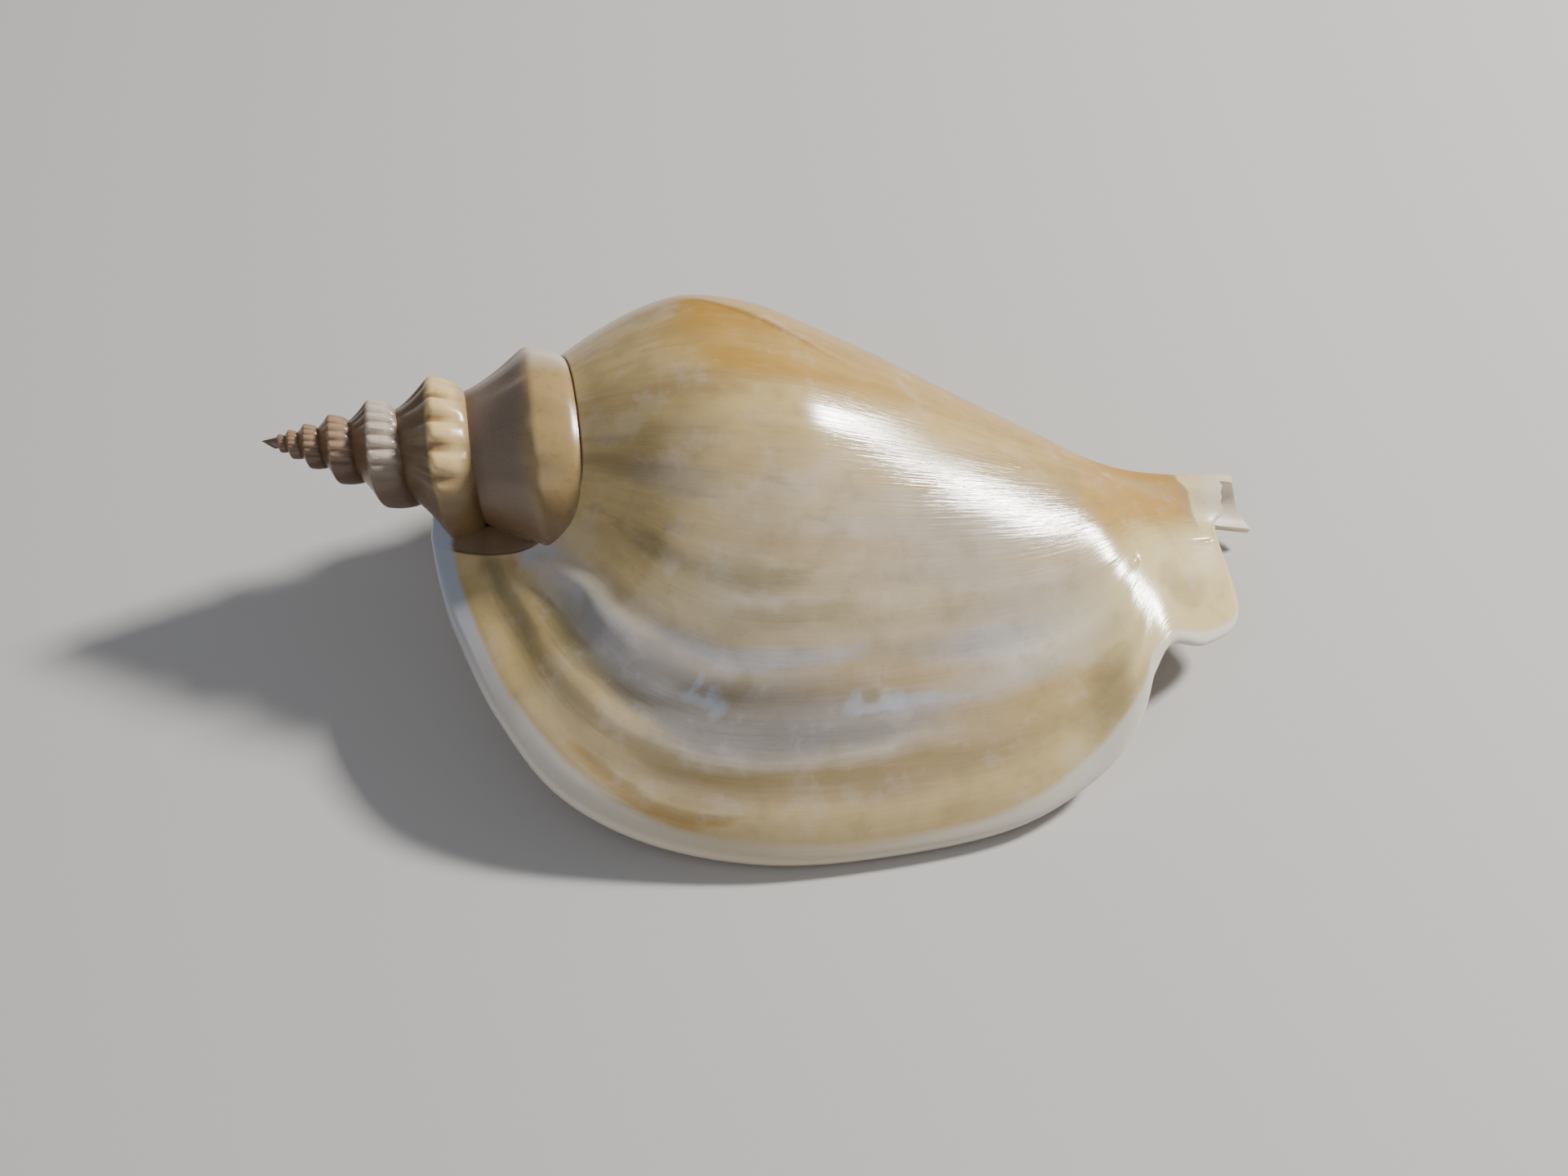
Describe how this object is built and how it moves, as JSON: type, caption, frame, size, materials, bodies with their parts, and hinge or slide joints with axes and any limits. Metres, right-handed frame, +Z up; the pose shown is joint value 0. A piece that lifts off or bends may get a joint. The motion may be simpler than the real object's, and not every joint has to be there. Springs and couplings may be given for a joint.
{
  "type": "swan conch shell",
  "caption": "Empty sea snail shell with a ribbed pointed spire, a smooth last whorl, a broad flared lip with a thick rim and a broken canal, lying with its opening down.",
  "frame": {"origin": "centre of the bounding box's underside, on the surface the shell lies on", "axes": "+X from the tip of the spire to the canal's broken end, +Y from the flared lip to the far side, +Z up away from the opening"},
  "size_m": [0.0662, 0.0366, 0.0209],
  "materials": {
    "shell": "natural polished shell"
  },
  "bodies": {
    "root": {"shell": "shell"}
  },
  "joints": []
}
